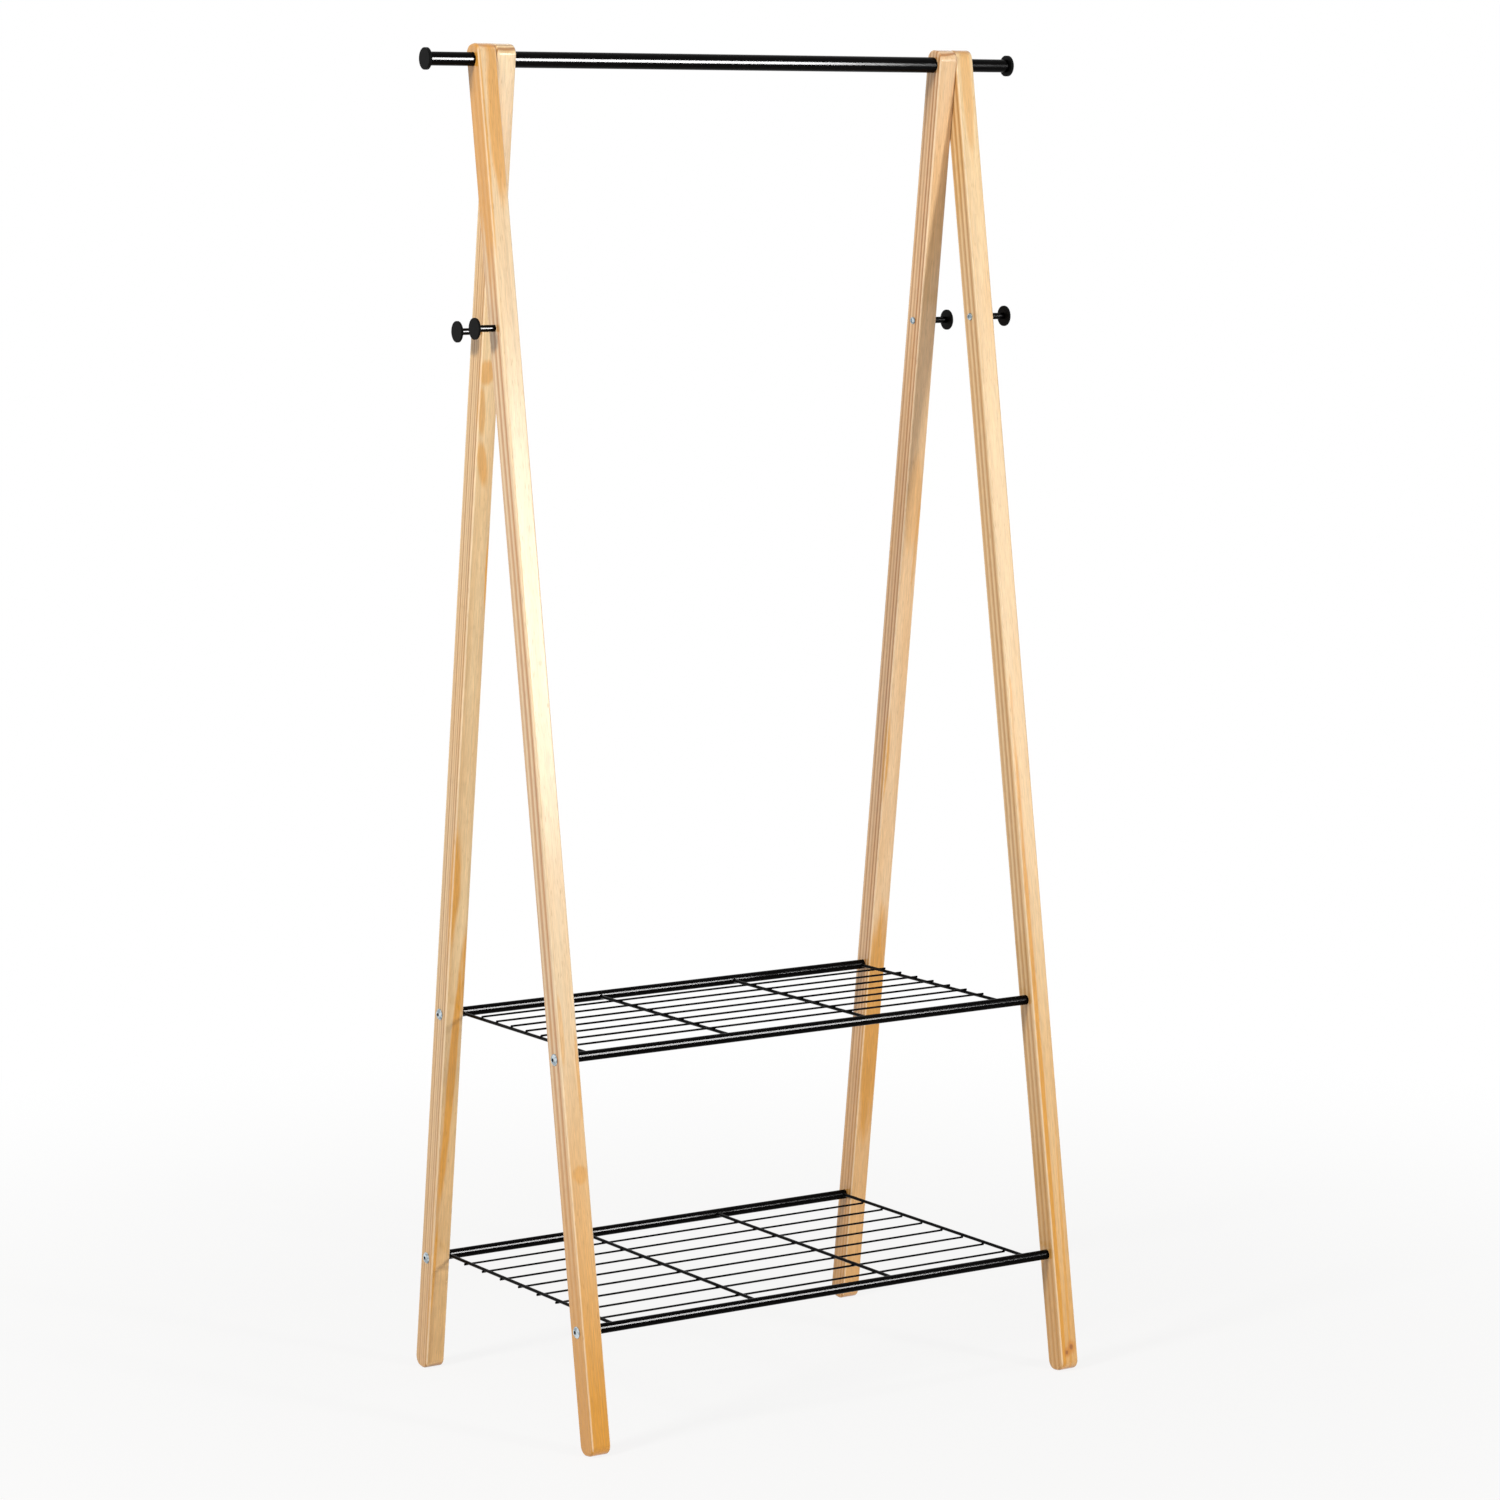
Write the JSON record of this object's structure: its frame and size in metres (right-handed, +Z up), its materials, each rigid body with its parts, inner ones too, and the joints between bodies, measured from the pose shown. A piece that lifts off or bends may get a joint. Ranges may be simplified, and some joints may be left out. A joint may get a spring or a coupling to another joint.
{
  "type": "clothes rack",
  "caption": "Free-standing clothes rack: wooden A-frame ends, a black steel hanging rail with capped overhanging ends, bolted wire shelves and outward pegs.",
  "frame": {"origin": "on the floor, below the middle of the hanging rail", "axes": "+X along the rail to the right as seen from the front, +Y to the back, +Z up"},
  "size_m": [0.8228, 0.4786, 1.6203],
  "materials": {
    "pine": "clear satin lacquer over pale striped pine",
    "black_steel": "glossy black powder coat",
    "black_plastic": "matte black moulded",
    "zinc": "bright zinc plated"
  },
  "bodies": {
    "root": {"hanging_rail": "black_steel", "left_back_leg": "pine", "left_back_peg_cap": "black_plastic", "left_back_peg_stem": "black_steel", "left_front_leg": "pine", "left_front_peg_cap": "black_plastic", "left_front_peg_stem": "black_steel", "left_rail_cap": "black_plastic", "lower_back_tube": "black_steel", "lower_cross_wire_1": "black_steel", "lower_cross_wire_2": "black_steel", "lower_cross_wire_3": "black_steel", "lower_cross_wire_4": "black_steel", "lower_front_tube": "black_steel", "lower_long_wire_1": "black_steel", "lower_long_wire_2": "black_steel", "lower_long_wire_3": "black_steel", "lower_long_wire_4": "black_steel", "lower_long_wire_5": "black_steel", "lower_long_wire_6": "black_steel", "lower_long_wire_7": "black_steel", "lower_long_wire_8": "black_steel", "lower_shelf_bolts": "zinc", "lower_tube_inserts": "zinc", "peg_screws": "zinc", "right_back_leg": "pine", "right_back_peg_cap": "black_plastic", "right_back_peg_stem": "black_steel", "right_front_leg": "pine", "right_front_peg_cap": "black_plastic", "right_front_peg_stem": "black_steel", "right_rail_cap": "black_plastic", "upper_back_tube": "black_steel", "upper_cross_wire_1": "black_steel", "upper_cross_wire_2": "black_steel", "upper_cross_wire_3": "black_steel", "upper_cross_wire_4": "black_steel", "upper_front_tube": "black_steel", "upper_long_wire_1": "black_steel", "upper_long_wire_2": "black_steel", "upper_long_wire_3": "black_steel", "upper_long_wire_4": "black_steel", "upper_long_wire_5": "black_steel", "upper_long_wire_6": "black_steel", "upper_long_wire_7": "black_steel", "upper_shelf_bolts": "zinc", "upper_tube_inserts": "zinc"}
  },
  "joints": []
}
